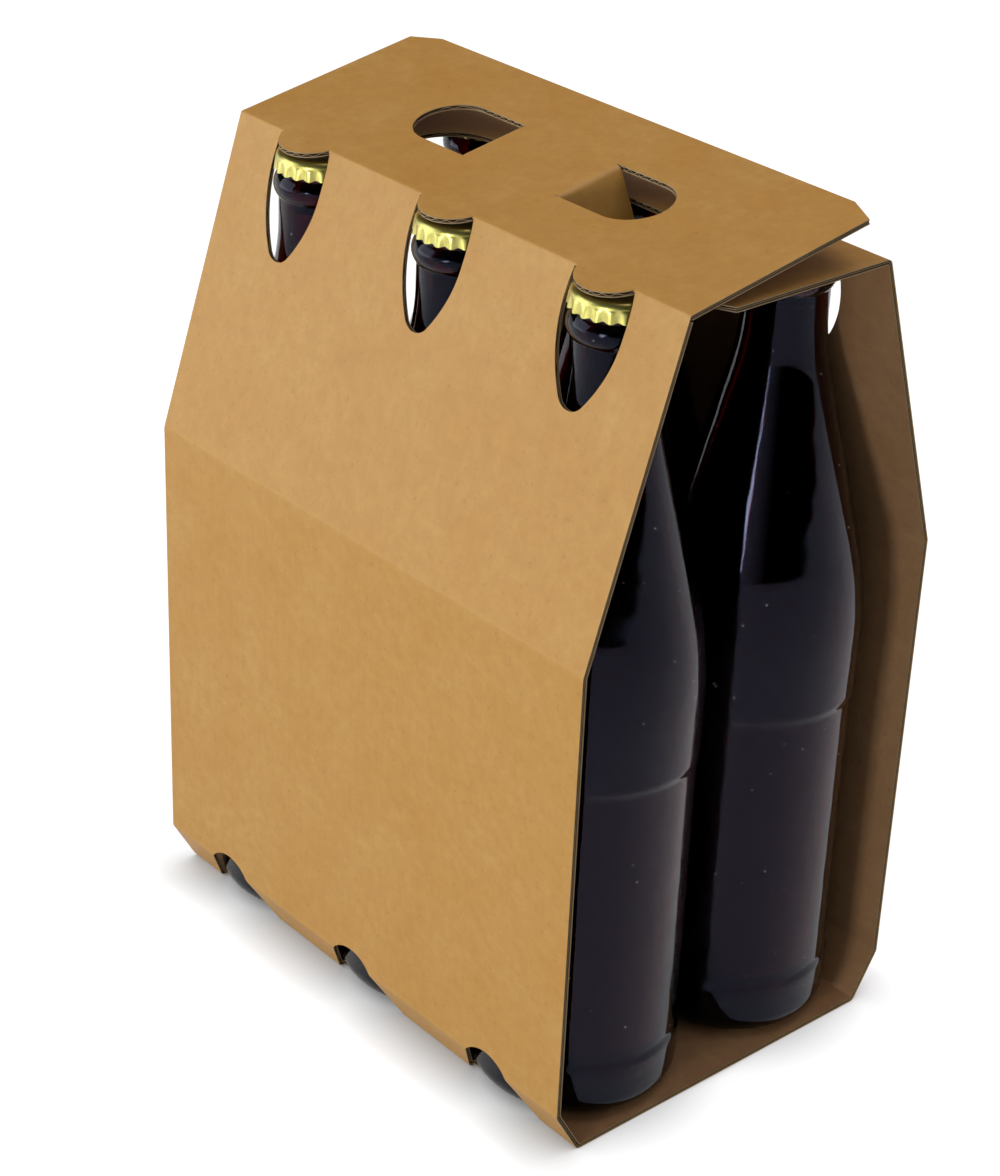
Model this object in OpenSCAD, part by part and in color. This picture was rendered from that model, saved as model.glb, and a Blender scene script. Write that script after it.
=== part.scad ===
// Six-pack bottle carrier: a sleeve folded from one sheet of fine corrugated board,
// holding two rows of three capped half-litre bottles. X runs along the rows, the
// front faces -Y, Z is up and the origin is the centre of the underside.

/* [Board] */
// Thickness of the corrugated board
board_t = 1.6; // [1.2:0.1:2.4]
// Room between the bottles and the long walls of the sleeve
side_play = 2.6; // [1:0.1:6]
// Board standing past the end bottles, at each end
end_margin = 0.8; // [0:0.1:6]
// Height of the walls' upper fold above the place where the bottles narrow
shoulder_up = 29.4; // [10:0.2:45]
// Height of the fold where the walls turn inwards to the base
heel_z = 16.4; // [12:0.2:26]
// How far the base folds lie inside the bottles' outer line
base_inset = 5.6; // [2:0.1:7]
// How far the top folds lie outside the line of the necks
fold_offset = 5; // [4:0.1:7]
// Room above the caps under the inner flap
cap_room = 0.4; // [0.2:0.1:3]

/* [Top flap] */
// Angle at which the flap stands open by itself
lid_tilt = 10.5; // [2:0.5:12]
// Length of the flap from its fold to its rear corners
lid_len = 68.5; // [62:0.5:74]
// Length of the inner flap from its fold to its front corners
inner_len = 61; // [56:0.5:64]
// Chamfer of the flaps' corners along the rows
chamfer_x = 10.4; // [4:0.2:16]
// Chamfer of the flaps' corners across the rows
chamfer_y = 5.1; // [2:0.1:8]
// Gap between the closed flap and the inner flap
flap_gap = 0.3; // [0.2:0.05:1]
// Gap round the flap's rounded fold
fold_gap = 0.3; // [0.2:0.05:0.6]

/* [Finger holes] */
// Distance of a hole's straight side from the middle
finger_x = 21.5; // [16:0.5:26]
// Distance of the holes' centre line from the front fold
finger_y = 35.6; // [30:0.2:40]
// Length of a hole along the rows
finger_len = 31.5; // [28:0.5:38]
// Width of a hole
finger_w = 25; // [20:0.5:27]
// Angle by which the finger tabs are folded down
tab_angle = 75; // [60:1:100]
// Gap that the cut leaves round a finger tab
tab_gap = 0.4; // [0.2:0.1:1]
// How much larger the holes in the inner flap are, all round
inner_grow = 3; // [2.5:0.1:4]

/* [Cap windows] */
// Widest width of a window in the slanted panels
window_w = 26.4; // [26:0.2:30]
// Distance of the widest place from the top fold
window_wide_s = 9.5; // [8:0.5:11]
// Length of a window from the fold to its tip
window_len = 38.4; // [34:0.2:44]
// Radius of the window's tip
window_tip_r = 6; // [4:0.2:8]
// Gap between a tongue and its window at the fold
tongue_gap = 0.7; // [0.3:0.1:2]
// How far each tongue stands out past the fold
tongue_out = 8.2; // [5:0.1:9]

/* [Heel openings] */
// Width of an opening at the base
heel_base_w = 34.8; // [28:0.2:38]
// Width of an opening at the fold above it
heel_top_w = 19; // [14:0.2:24]
// Height of the arch above that fold
heel_arch = 4.4; // [2:0.1:8]
// Depth of the notch in the base panel
heel_notch = 1.5; // [0.5:0.1:3]

/* [Bottle] */
// Largest diameter of a bottle
bottle_d = 66; // [58:0.5:74]
// Height of a bottle without its cap
bottle_h = 264.8; // [256:0.5:285]
// Gap between neighbouring bottles
bottle_gap = 2; // [0.4:0.1:4]
// Thickness of the glass
glass_t = 2.5; // [2:0.1:4]
// Thickness of the glass under the bottle
base_t = 4.5; // [3:0.1:7]
// Radius of the heel
heel_r = 8; // [5:0.5:10]
// Height of the push-up under the base
punt_h = 5; // [2:0.5:8]
// Depth of the recessed label panel
label_depth = 0.7; // [0.4:0.1:1.6]
// Lower edge of the label panel
label_z0 = 22; // [16:0.5:40]
// Distance of the label panel's upper edge below the shoulder
label_gap = 22.2; // [8:0.2:30]
// Length of the slope at each edge of the label panel
label_step = 4; // [2:0.5:6]
// Length of the neck from the lip down to the cone
neck_len = 21.4; // [19:0.2:30]
// Radius of the shoulder
round_r = 120; // [90:1:140]
// Angle of the cone between shoulder and neck
cone_angle = 14; // [13:0.5:18]
// Diameter of the neck
neck_d = 26; // [24.6:0.1:26.4]
// Diameter of the bore in the neck
bore_d = 18; // [15:0.2:20]
// Radius between cone and neck
neck_blend_r = 75; // [55:1:90]
// Empty height above the beer
ullage = 17; // [15:0.5:30]
// Gap between the beer and the glass
fill_gap = 0.1; // [0.05:0.05:0.4]

/* [Bottle finish] */
// Diameter of the locking ring under the cap
ring_d = 26.6; // [26.4:0.1:27]
// Depth of the locking ring's lower edge below the lip
ring_s = 4.4; // [4:0.1:5]
// Radius of the lip
lip_r = 1.6; // [1:0.1:2]
// Depth of the bead's upper edge below the lip
bead_s = 5.8; // [5.4:0.1:6.6]
// Height of the barrel-shaped bead
bead_h = 8; // [6:0.2:9]
// How far the bead stands out past the neck
bead_out = 1.6; // [1:0.1:2]

/* [Crown cap] */
// Height of a cap
cap_h = 6; // [5.4:0.1:6.8]
// Thickness of the cap's sheet
cap_t = 0.35; // [0.25:0.05:0.5]
// Thickness of the sealing liner
liner_t = 0.6; // [0.4:0.1:1]
// Radius of the cap's edge
cap_edge_r = 2.2; // [1.6:0.1:2.6]
// Teeth of the cap
cap_teeth = 21; // [15:1:27]
// Diameter of a cap over its teeth
cap_d = 29; // [28.6:0.1:29.2]
// Radius of a tooth at the skirt's edge
tooth_r = 1.4; // [1.1:0.1:1.7]
// Gap between the skirt and the bottle's locking ring
cap_gap = 0.15; // [0.1:0.05:0.2]

/* [Hidden] */
$fn = 64;
board_color = "#BE8F52";
glass_color = "#3A1E14";
beer_color = "#8C4A12";
cap_color = "#D8B830";
liner_color = "#E6E2D6";

// Places of the bottles
pitch = bottle_d + bottle_gap;
row_x = [-pitch, 0, pitch];
row_y = pitch / 2;

// Bottle radii, and the heights of its neck, shoulder and label panel worked down from the lip
body_r = bottle_d / 2;
label_r = body_r - label_depth;
cavity_r = label_r - glass_t;
neck_r = neck_d / 2;
bore_r = bore_d / 2;
neck_z = bottle_h - neck_len;
cone_dr = body_r - neck_r - (round_r + neck_blend_r) * (1 - cos(cone_angle));
round_z = neck_z - cone_dr / tan(cone_angle) - (round_r + neck_blend_r) * sin(cone_angle);
label_z1 = round_z - label_gap;
fill_z = bottle_h - ullage;

// Heights of the top, worked up from the base panel
shoulder_z = board_t + round_z + shoulder_up;
cap_top_z = board_t + bottle_h + liner_t + cap_t;
inner_z = cap_top_z + cap_room + board_t / 2;
fold_z = inner_z + board_t + flap_gap;

// Middle line of the board in the YZ plane, from the front top fold round to the inner flap
sleeve_l = 2 * pitch + bottle_d + 2 * end_margin;
wall_y = row_y + bottle_d / 2 + side_play + board_t / 2;
base_y = row_y + bottle_d / 2 - base_inset;
fold_y = row_y + fold_offset;
sleeve_line = [
    [-fold_y, fold_z],
    [-wall_y, shoulder_z],
    [-wall_y, heel_z],
    [-base_y, board_t / 2],
    [base_y, board_t / 2],
    [wall_y, heel_z],
    [wall_y, shoulder_z],
    [fold_y, inner_z],
    [fold_y - inner_len - chamfer_y, inner_z]
];

// Window: two side arcs with a tip circle that touches both from inside
window_tip_s = window_len - window_tip_r;
window_drop = window_tip_s - window_wide_s;
window_side_r = (pow(window_w / 2, 2) + pow(window_drop, 2) - pow(window_tip_r, 2))
    / (window_w - 2 * window_tip_r);
window_side_x = window_side_r - window_w / 2;
window_tip_a = atan2(window_drop, window_side_x);
window_top_a = asin(window_wide_s / window_side_r);

// Tongue: a disc as wide as the window at the fold, its centre behind the fold
tongue_half = sqrt(pow(window_side_r, 2) - pow(window_wide_s, 2)) - window_side_x - tongue_gap;
tongue_r = (pow(tongue_half, 2) + pow(tongue_out, 2)) / (2 * tongue_out);

// Arch over a heel opening, through its two corners and its crown
arch_r = (pow(heel_top_w / 2, 2) + pow(heel_arch, 2)) / (2 * heel_arch);
arch_half_a = asin(heel_top_w / 2 / arch_r);

// Bead under the cap, an arc through its two edges
bead_r = (pow(bead_h / 2, 2) + pow(bead_out, 2)) / (2 * bead_out);
bead_half_a = asin(bead_h / 2 / bead_r);

// Cap: inner radius over the locking ring, and the top face's radius
ring_r = ring_d / 2;
cap_in_r = ring_r + cap_gap;
cap_flat_r = cap_in_r + cap_t - cap_edge_r;
cap_top = liner_t + cap_t;
cap_foot = cap_top - cap_h;
cap_edge_z = cap_top - cap_edge_r;
tooth_tip_r = 0.2;
tooth_top_x = cap_in_r + cap_t - tooth_tip_r;
tooth_tilt = atan2(cap_d / 2 - tooth_r - tooth_top_x, cap_edge_z - cap_foot);

// Points of an arc in the order of the angles given
function arc(c, r, a0, a1, n) =
    [for (i = [0 : n]) let (a = a0 + (a1 - a0) * i / n) c + r * [cos(a), sin(a)]];

// Unit vector at an angle
function toward(a) = [cos(a), sin(a)];

// List in the opposite order
function reversed(v) = [for (i = [len(v) - 1 : -1 : 0]) v[i]];

// Heading of the stretch of a line that starts at point i
function heading(line, i) = atan2(line[i + 1][1] - line[i][1], line[i + 1][0] - line[i][0]);

// Outside of the board round a middle line that turns left, rounded at every fold
function board_outside(line) = let (last = len(line) - 1, r = board_t / 2) concat(
    [line[0] + r * toward(heading(line, 0) - 90)],
    [for (i = [1 : last - 1]) each arc(line[i], r, heading(line, i - 1) - 90, heading(line, i) - 90, 4)],
    [line[last] + r * toward(heading(line, last - 1) - 90)]
);

// Inside of the same board, with sharp corners at the folds
function board_inside(line) = let (last = len(line) - 1, r = board_t / 2) concat(
    [line[0] + r * toward(heading(line, 0) + 90)],
    [for (i = [1 : last - 1])
        let (a = heading(line, i - 1) + 90, b = heading(line, i) + 90)
            line[i] + r * (toward(a) + toward(b)) / (1 + cos(b - a))],
    [line[last] + r * toward(heading(line, last - 1) + 90)]
);

// Angle of a slanted panel that ends at a top fold of height z
function slant(z) = atan2(z - shoulder_z, wall_y - fold_y);

// Inside of a bottle from the middle of the base up to the neck, moved in by g
function cavity(g) = concat(
    [[0, punt_h + base_t + g]],
    arc([cavity_r - heel_r, base_t + heel_r], heel_r - g, -90, 0, 5),
    arc([body_r - round_r, round_z], round_r - label_depth - glass_t - g, 0, cone_angle, 6),
    arc([neck_r + neck_blend_r, neck_z], neck_blend_r + neck_r - bore_r + g, 180 + cone_angle, 180, 5)
);

// Outside of a bottle from the middle of the base up to the lip
function bottle_line() = concat(
    [[0, punt_h], [body_r - 2 * heel_r, punt_h / 2], [body_r - heel_r - 1, 0]],
    arc([body_r - heel_r, heel_r], heel_r, -90, 0, 6),
    [
        [body_r, label_z0 - label_step],
        [label_r, label_z0],
        [label_r, label_z1],
        [body_r, label_z1 + label_step]
    ],
    arc([body_r - round_r, round_z], round_r, 0, cone_angle, 8),
    arc([neck_r + neck_blend_r, neck_z], neck_blend_r, 180 + cone_angle, 180, 6),
    arc(
        [neck_r + bead_out - bead_r, bottle_h - bead_s - bead_h / 2],
        bead_r, -bead_half_a, bead_half_a, 6
    ),
    [[ring_r, bottle_h - ring_s]],
    arc([ring_r - lip_r, bottle_h - lip_r], lip_r, 0, 90, 4)
);

// Line of a cap from its foot over its edge to the middle of its top, grown by t
function cap_line(t, top) = concat(
    [[0, cap_foot], [cap_in_r + t, cap_foot]],
    arc([cap_flat_r, cap_edge_z], cap_edge_r - cap_t + t, 0, 90, 5),
    [[0, top]]
);

// Puts a shape on the axis of bottle i of a row, at a height above the base panel
module on_bottle(i, row, z = 0) {
    translate([row_x[i], row * row_y, board_t + z])
        children();
}

module bottle(i, row) {
    color(glass_color)
        on_bottle(i, row)
            rotate_extrude()
                difference() {
                    polygon(concat(bottle_line(), [[0, bottle_h]]));
                    polygon(concat(cavity(0), [[bore_r, bottle_h + 1], [0, bottle_h + 1]]));
                }
}

module beer(i, row) {
    color(beer_color)
        on_bottle(i, row)
            rotate_extrude()
                polygon(concat(cavity(fill_gap), [[bore_r - fill_gap, fill_z], [0, fill_z]]));
}

module liner(i, row) {
    color(liner_color)
        on_bottle(i, row, bottle_h)
            cylinder(h = liner_t, r = cap_flat_r);
}

// Crown cap: a pressed shell with a toothed skirt
module cap(i, row) {
    color(cap_color)
        on_bottle(i, row, bottle_h)
            difference() {
                union() {
                    rotate_extrude()
                        polygon(cap_line(cap_t, cap_top));
                    for (k = [0 : cap_teeth - 1])
                        rotate([0, 0, k * 360 / cap_teeth])
                            cap_tooth();
                }
                rotate_extrude()
                    polygon(cap_line(0, liner_t));
                translate([0, 0, cap_foot - cap_h])
                    cylinder(h = cap_h, r = 2 * cap_in_r);
            }
}

// One tooth: a cone that leans out along the skirt and widens to its edge
module cap_tooth() {
    translate([tooth_top_x, 0, cap_edge_z])
        rotate([0, 180 - tooth_tilt, 0])
            cylinder(h = (cap_edge_z - cap_foot) / cos(tooth_tilt), r1 = tooth_tip_r, r2 = tooth_r, $fn = 24);
}

// Outline of a finger hole: straight side on the Y axis, round end towards +X
module finger_shape(grow = 0) {
    half = finger_w / 2 + grow;
    polygon(concat(
        [[-grow, half], [-grow, -half]],
        arc([finger_len - finger_w / 2, 0], half, -90, 90, 16)
    ));
}

// Both finger holes, mirrored about the middle
module finger_pair(grow = 0) {
    for (side = [0, 1])
        mirror([side, 0, 0])
            translate([finger_x, 0])
                finger_shape(grow);
}

// Discs that stand out past a fold over each cap, with the flap towards +Y
module tongues() {
    for (x = row_x)
        translate([x, tongue_r - tongue_out])
            circle(tongue_r);
}

// Flap seen from above, with its fold on the X axis and chamfered corners
module flap_shape(len) {
    polygon([
        [-sleeve_l / 2, 0],
        [sleeve_l / 2, 0],
        [sleeve_l / 2, len],
        [sleeve_l / 2 - chamfer_x, len + chamfer_y],
        [chamfer_x - sleeve_l / 2, len + chamfer_y],
        [-sleeve_l / 2, len]
    ]);
}

// Window in a slanted panel, hanging from the fold towards -Y
module window_shape() {
    half = concat(
        [[window_side_r * cos(window_top_a) - window_side_x, board_t]],
        arc([-window_side_x, -window_wide_s], window_side_r, window_top_a, -window_tip_a, 12),
        arc([0, -window_tip_s], window_tip_r, -window_tip_a, -90, 6)
    );
    polygon(concat(half, [for (q = reversed(half)) [-q[0], q[1]]]));
}

// Opening for a bottle's heel, seen from the front
module heel_shape() {
    polygon(concat(
        [
            [-heel_base_w / 2, 0],
            [-heel_base_w / 2, -board_t],
            [heel_base_w / 2, -board_t],
            [heel_base_w / 2, 0]
        ],
        arc([0, heel_z + heel_arch - arch_r], arch_r, 90 - arch_half_a, 90 + arch_half_a, 10)
    ));
}

// Board of the full thickness along a middle line that turns left at its folds
module board_strip(line) {
    polygon(concat(board_outside(line), reversed(board_inside(line))));
}

// Windows and heel openings of the front, or of the back when mirrored
module wall_cuts(top_z) {
    for (x = row_x) {
        translate([x, -fold_y, top_z])
            rotate([slant(top_z), 0, 0])
                linear_extrude(2 * board_t, center = true)
                    window_shape();
        translate([x, heel_notch - base_y, 0])
            rotate([90, 0, 0])
                linear_extrude(wall_y)
                    heel_shape();
    }
}

// What a flap's chamfered corners leave out of its full rectangle
module corner_cuts(len) {
    difference() {
        translate([-sleeve_l, len])
            square([2 * sleeve_l, 2 * chamfer_y]);
        flap_shape(len);
    }
}

// Corners and finger holes of the inner flap
module inner_flap_cuts() {
    translate([0, fold_y, inner_z])
        rotate([180, 0, 0])
            linear_extrude(2 * board_t, center = true)
                corner_cuts(inner_len);
    translate([0, finger_y - fold_y, inner_z])
        linear_extrude(2 * board_t, center = true)
            finger_pair(inner_grow);
}

module sleeve() {
    color(board_color) {
        difference() {
            rotate([90, 0, 90])
                linear_extrude(sleeve_l, center = true)
                    difference() {
                        board_strip(sleeve_line);
                        translate(sleeve_line[0])
                            circle(d = board_t + 2 * fold_gap);
                    }
            wall_cuts(fold_z);
            mirror([0, 1, 0])
                wall_cuts(inner_z);
            inner_flap_cuts();
        }
        translate([0, fold_y, inner_z])
            rotate([180, 0, 0])
                linear_extrude(board_t, center = true)
                    tongues();
    }
}

module top_flap() {
    color(board_color)
        translate([0, -fold_y, fold_z])
            rotate([lid_tilt, 0, 0]) {
                difference() {
                    rotate([90, 0, 90])
                        linear_extrude(sleeve_l, center = true)
                            nosed_strip(lid_len + chamfer_y);
                    linear_extrude(2 * board_t, center = true) {
                        corner_cuts(lid_len);
                        translate([0, finger_y])
                            finger_pair();
                    }
                }
                linear_extrude(board_t, center = true)
                    tongues();
                for (side = [0, 1])
                    mirror([side, 0, 0])
                        translate([finger_x, finger_y, 0])
                            finger_tab();
            }
}

// Board seen from its end, with its folded edge rounded about the origin
module nosed_strip(len) {
    polygon(concat(
        arc([0, 0], board_t / 2, 90, 270, 8),
        [[len, -board_t / 2], [len, board_t / 2]]
    ));
}

// Tab pushed down out of a finger hole, folded along the hole's straight side
module finger_tab() {
    difference() {
        rotate([90, 0, 0])
            linear_extrude(finger_w - 2 * tab_gap, center = true)
                board_strip([finger_len * toward(-tab_angle), [0, 0], [-2 * board_t, 0]]);
        rotate([0, tab_angle, 0])
            linear_extrude(2 * board_t, center = true)
                difference() {
                    translate([finger_len - finger_w / 2, -finger_w])
                        square(2 * finger_w);
                    finger_shape(-tab_gap);
                }
    }
}

sleeve();
top_flap();
bottle(0, -1);  // bottle_front_1
bottle(1, -1);  // bottle_front_2
bottle(2, -1);  // bottle_front_3
bottle(0, 1);  // bottle_back_1
bottle(1, 1);  // bottle_back_2
bottle(2, 1);  // bottle_back_3
beer(0, -1);  // beer_front_1
beer(1, -1);  // beer_front_2
beer(2, -1);  // beer_front_3
beer(0, 1);  // beer_back_1
beer(1, 1);  // beer_back_2
beer(2, 1);  // beer_back_3
cap(0, -1);  // cap_front_1
cap(1, -1);  // cap_front_2
cap(2, -1);  // cap_front_3
cap(0, 1);  // cap_back_1
cap(1, 1);  // cap_back_2
cap(2, 1);  // cap_back_3
liner(0, -1);  // liner_front_1
liner(1, -1);  // liner_front_2
liner(2, -1);  // liner_front_3
liner(0, 1);  // liner_back_1
liner(1, 1);  // liner_back_2
liner(2, 1);  // liner_back_3
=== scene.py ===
import logging
import math
from collections.abc import Callable
from dataclasses import dataclass
from enum import Enum, IntEnum
from typing import Protocol

import bmesh
import bpy
import numpy as np
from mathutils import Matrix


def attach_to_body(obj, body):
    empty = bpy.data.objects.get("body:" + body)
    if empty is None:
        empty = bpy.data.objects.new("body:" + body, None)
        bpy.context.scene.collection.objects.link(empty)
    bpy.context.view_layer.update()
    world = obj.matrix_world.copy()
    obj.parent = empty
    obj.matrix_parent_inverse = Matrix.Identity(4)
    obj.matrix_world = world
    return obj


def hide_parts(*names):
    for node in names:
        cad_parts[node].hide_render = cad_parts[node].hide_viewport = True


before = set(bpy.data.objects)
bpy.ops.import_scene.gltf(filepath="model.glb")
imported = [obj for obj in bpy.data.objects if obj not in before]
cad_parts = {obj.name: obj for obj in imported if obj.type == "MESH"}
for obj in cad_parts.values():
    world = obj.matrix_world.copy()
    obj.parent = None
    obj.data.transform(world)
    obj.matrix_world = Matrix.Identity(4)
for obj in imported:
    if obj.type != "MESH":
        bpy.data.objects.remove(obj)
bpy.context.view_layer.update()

LOG = logging.getLogger("bottle_carrier")
Array = np.ndarray
MM = 0.001
WHITE = (1.0, 1.0, 1.0, 1.0)
BASE_BODY = "carrier"
LID_BODY = "lid"
# Point attribute: share of creasing near folds, which the paper shows as a painted highlight
CREASE = "crease"
# Edges that bend more than this stay sharp
BOARD_SHARP_DEG = 25.0
TURNED_SHARP_DEG = 40.0
# Points closer than this in millimetres become one
MERGE_MM = 0.001
# Millimetres from bottle to bottle
BOTTLE_PITCH = 68.0
# Millimetres past a fold, for the grid rows that keep the panel beside it flat
BESIDE_FOLD = (0.25, 0.7, 1.4, 2.6)
# Where the top flap's line starts, on its rounded fold
NOSE_START = -1.0


class Layer(Enum):
    """Sheets of the corrugated board, from the outside in."""

    OUTER = "outer_liner"
    FLUTES = "flutes"
    INNER = "inner_liner"


class Fold(IntEnum):
    """Folds of the sleeve, on the way round from the front top fold."""

    FRONT_SHOULDER = 0
    FRONT_HEEL = 1
    FRONT_BASE = 2
    BACK_BASE = 3
    BACK_HEEL = 4
    BACK_SHOULDER = 5
    BACK_TOP = 6


class Row(Enum):
    """Rows of bottles, with their side of the carrier."""

    FRONT = -1
    BACK = 1


# Colour, nodes and meshes


def linear(colour: str) -> tuple[float, float, float, float]:
    """Turns an sRGB hex colour into linear RGBA.

    Args:
        colour: Six hex digits after a hash sign.

    Returns:
        The linear colour with full alpha.
    """
    srgb = np.array([int(colour[i:i + 2], 16) for i in (1, 3, 5)]) / 255
    rgb = np.where(srgb <= 0.04045, srgb / 12.92, ((srgb + 0.055) / 1.055) ** 2.4)
    return (*map(float, rgb), 1.0)


def per_metre(size_mm: float) -> float:
    """Texture scale whose pattern repeats about every size_mm."""
    return 1.0 / (size_mm * MM)


def add(tree: bpy.types.NodeTree, kind: str, inputs: dict | None = None,
        **settings: object) -> bpy.types.Node:
    """Adds a node, sets it up and feeds its inputs.

    Args:
        tree: Node tree that gets the node.
        kind: Blender's name of the node type.
        inputs: Values or output sockets by input name or index.
        settings: Attributes of the node.

    Returns:
        The new node.
    """
    made = tree.nodes.new(kind)
    for name, value in settings.items():
        setattr(made, name, value)
    for name, value in (inputs or {}).items():
        if isinstance(value, bpy.types.NodeSocket):
            tree.links.new(value, made.inputs[name])
        else:
            made.inputs[name].default_value = value
    return made


def new_material(name: str) -> tuple[bpy.types.Material, bpy.types.NodeTree, bpy.types.Node]:
    """Makes an empty node material.

    Args:
        name: Name of the real material.

    Returns:
        The material, its node tree and its output node.
    """
    material = bpy.data.materials.new(name)
    material.use_nodes = True
    tree = material.node_tree
    tree.nodes.clear()
    return material, tree, tree.nodes.new("ShaderNodeOutputMaterial")


def quads_of(rows: int, columns: int, keep: Array | None = None) -> Array:
    """Faces of a grid of points numbered row by row.

    The face between rows j and j+1 and columns i and i+1 runs down the rows first, so its normal is the row
    direction crossed with the column direction.

    Args:
        rows: Number of rows.
        columns: Number of columns.
        keep: Faces to keep, as (rows - 1, columns - 1), or None for all.

    Returns:
        Point numbers of the faces, as (n, 4).
    """
    index = np.arange(rows * columns).reshape(rows, columns)
    quads = np.stack([index[:-1, :-1], index[1:, :-1], index[1:, 1:], index[:-1, 1:]], axis=-1)
    return quads.reshape(-1, 4) if keep is None else quads[keep]


@dataclass
class Surface:
    """Points in millimetres, four-sided faces between them, each face's slot and each point's share of creasing."""

    points: Array
    quads: Array
    slots: Array | None = None
    crease: Array | None = None

    def __post_init__(self) -> None:
        """Puts faces into the first slot and leaves points uncreased where nothing else is given."""
        if self.slots is None:
            self.slots = np.zeros(len(self.quads), dtype=np.int32)
        if self.crease is None:
            self.crease = np.zeros(len(self.points))

    def joined(self, *others: "Surface") -> "Surface":
        """This surface and others as one, with their points numbered on.

        Args:
            others: Surfaces that follow this one.

        Returns:
            The joined surface.
        """
        parts = [self, *others]
        starts = np.cumsum([0] + [len(part.points) for part in parts[:-1]])
        return Surface(
            np.concatenate([part.points for part in parts]),
            np.concatenate([part.quads + start for part, start in zip(parts, starts)]),
            np.concatenate([part.slots for part in parts]),
            np.concatenate([part.crease for part in parts]),
        )

    def flipped(self) -> "Surface":
        """The same surface with its faces turned over."""
        return Surface(self.points, self.quads[:, ::-1], self.slots, self.crease)

    def to_object(self, name: str, materials: list[bpy.types.Material], smooth_deg: float) -> bpy.types.Object:
        """Puts the surface into a mesh object at the origin.

        Points that coincide are merged, which closes seams and poles and turns collapsed quads into triangles.

        Args:
            name: Name of the piece.
            materials: Materials for its slots.
            smooth_deg: Edges that bend more than this stay sharp.

        Returns:
            The new object.
        """
        used, quads = np.unique(self.quads, return_inverse=True)
        points, quads = self.points[used] * MM, quads.reshape(-1, 4)
        mesh = bpy.data.meshes.new(name)
        mesh.vertices.add(len(points))
        mesh.vertices.foreach_set("co", points.astype(np.float32).ravel())
        mesh.loops.add(quads.size)
        mesh.loops.foreach_set("vertex_index", quads.astype(np.int32).ravel())
        mesh.polygons.add(len(quads))
        mesh.polygons.foreach_set("loop_start", np.arange(0, quads.size, 4, dtype=np.int32))
        mesh.update(calc_edges=True)
        for material in materials:
            mesh.materials.append(material)
        mesh.polygons.foreach_set("material_index", self.slots.astype(np.int32))
        creased = mesh.attributes.new(CREASE, "FLOAT", "POINT")
        creased.data.foreach_set("value", self.crease[used].astype(np.float32))
        shape = bmesh.new()
        shape.from_mesh(mesh)
        bmesh.ops.remove_doubles(shape, verts=shape.verts, dist=MERGE_MM * MM)
        shape.to_mesh(mesh)
        shape.free()
        mesh.polygons.foreach_set("use_smooth", np.ones(len(mesh.polygons), dtype=bool))
        mesh.set_sharp_from_angle(angle=math.radians(smooth_deg))
        made = bpy.data.objects.new(name, mesh)
        bpy.context.scene.collection.objects.link(made)
        return made


def paper_sheet(place: Callable[[Array], Array], top: Array, depth: float, quads: Array,
                crease: Array | None = None) -> Surface:
    """Closed sheet between an outward face and the same face moved in by the paper's thickness.

    The rim joins both faces along every edge that only one face uses, and goes into the second slot.

    Args:
        place: Points for heights above the board's middle plane, both on the sheet's grid.
        top: Heights of the outward face.
        depth: Thickness of the paper.
        quads: Faces of the outward face.
        crease: Share of creasing of each grid point, or None.

    Returns:
        The closed sheet.
    """
    faces = [place(lift).reshape(-1, 3) for lift in (top, top - depth)]
    count = len(faces[0])
    edges = np.concatenate([quads[:, [i, (i + 1) % 4]] for i in range(4)])
    rim = edges[~np.isin(edges @ [count, 1], edges @ [1, count])]
    sides = np.stack([rim[:, 1], rim[:, 0], rim[:, 0] + count, rim[:, 1] + count], axis=-1)
    slots = np.repeat([0, 1], [2 * len(quads), len(sides)])
    marks = None if crease is None else np.tile(crease.ravel(), 2)
    return Surface(np.concatenate(faces), np.concatenate([quads, quads[:, ::-1] + count, sides]), slots, marks)


def attach(piece: bpy.types.Object, body: str, slot: str, *stands_for: str) -> None:
    """Rides a piece on a body and hides the solids that it stands for.

    Args:
        piece: Object to attach.
        body: Name of the body.
        slot: Name of the record's material slot; not used.
        stands_for: Names of the solids.
    """
    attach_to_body(piece, body)
    if stands_for:
        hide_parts(*stands_for)
    LOG.info("%s: %d faces, on %s", piece.name, len(piece.data.polygons), body)


# Finishes


@dataclass(frozen=True)
class Pattern:
    """A noise pattern: the real size that it repeats at, its octaves and how strongly they carry on."""

    size_mm: float
    detail: float
    carry: float


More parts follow.
